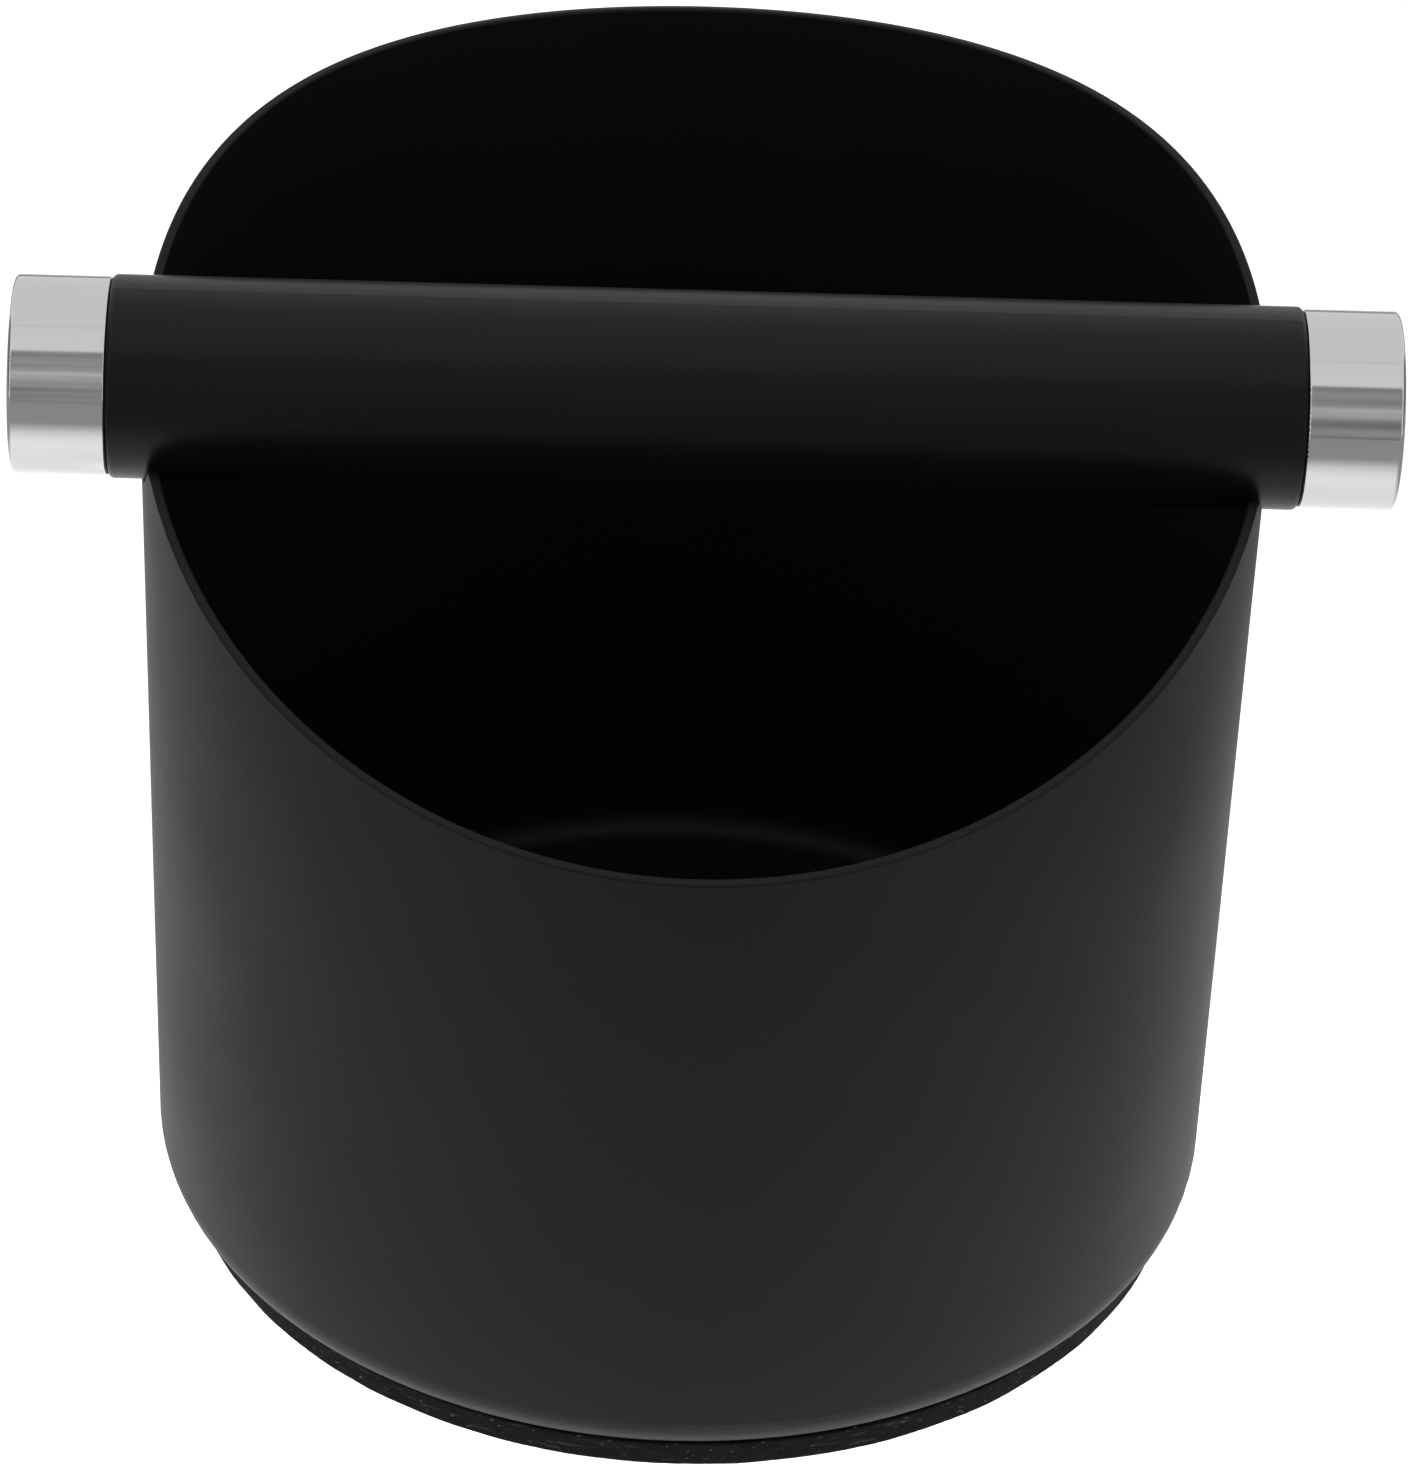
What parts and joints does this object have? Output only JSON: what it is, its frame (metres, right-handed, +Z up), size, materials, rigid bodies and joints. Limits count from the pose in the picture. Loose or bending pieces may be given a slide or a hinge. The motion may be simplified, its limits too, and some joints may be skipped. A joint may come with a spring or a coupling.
{
  "type": "espresso knock box",
  "caption": "Round bin with a slanted open mouth, a foam foot pad and a rubber-covered knock bar that lies in notches in the rim, rolls and lifts out.",
  "frame": {"origin": "centre of the foot pad's underside, on the surface the box stands on", "axes": "+Z up; +X along the knock bar; the low lip of the mouth faces -Y and the high back is at +Y"},
  "size_m": [0.1714, 0.1405, 0.1357],
  "materials": {
    "coated_steel": "matt black powder coat",
    "foot_foam": "dense black foam rubber",
    "adhesive": "thin double-sided adhesive sheet",
    "steel_tube": "drawn stainless tube",
    "sleeve_rubber": "smooth matt black rubber",
    "cap_chrome": "polished chrome plate",
    "plug_steel": "turned zinc-plated steel"
  },
  "bodies": {
    "bin": {"bin_shell": "coated_steel", "base_pad": "foot_foam", "pad_adhesive": "adhesive"},
    "bar_carrier": {"bar_tube": "steel_tube"},
    "knock_bar": {"bar_sleeve": "sleeve_rubber", "end_cap_left": "cap_chrome", "end_cap_right": "cap_chrome", "tube_plug_left": "plug_steel", "tube_plug_right": "plug_steel", "cap_studs": "plug_steel"}
  },
  "joints": [
    {"name": "bar_lift", "type": "slide", "parent": "bin", "child": "bar_carrier", "axis": [0, -0.3833, 0.9236], "range_m": [0, 0.06]},
    {"name": "bar_roll", "type": "hinge", "parent": "bar_carrier", "child": "knock_bar", "pos_m": [0, -0.0033, 0.12058], "axis": [1, 0, 0], "continuous": true}
  ]
}
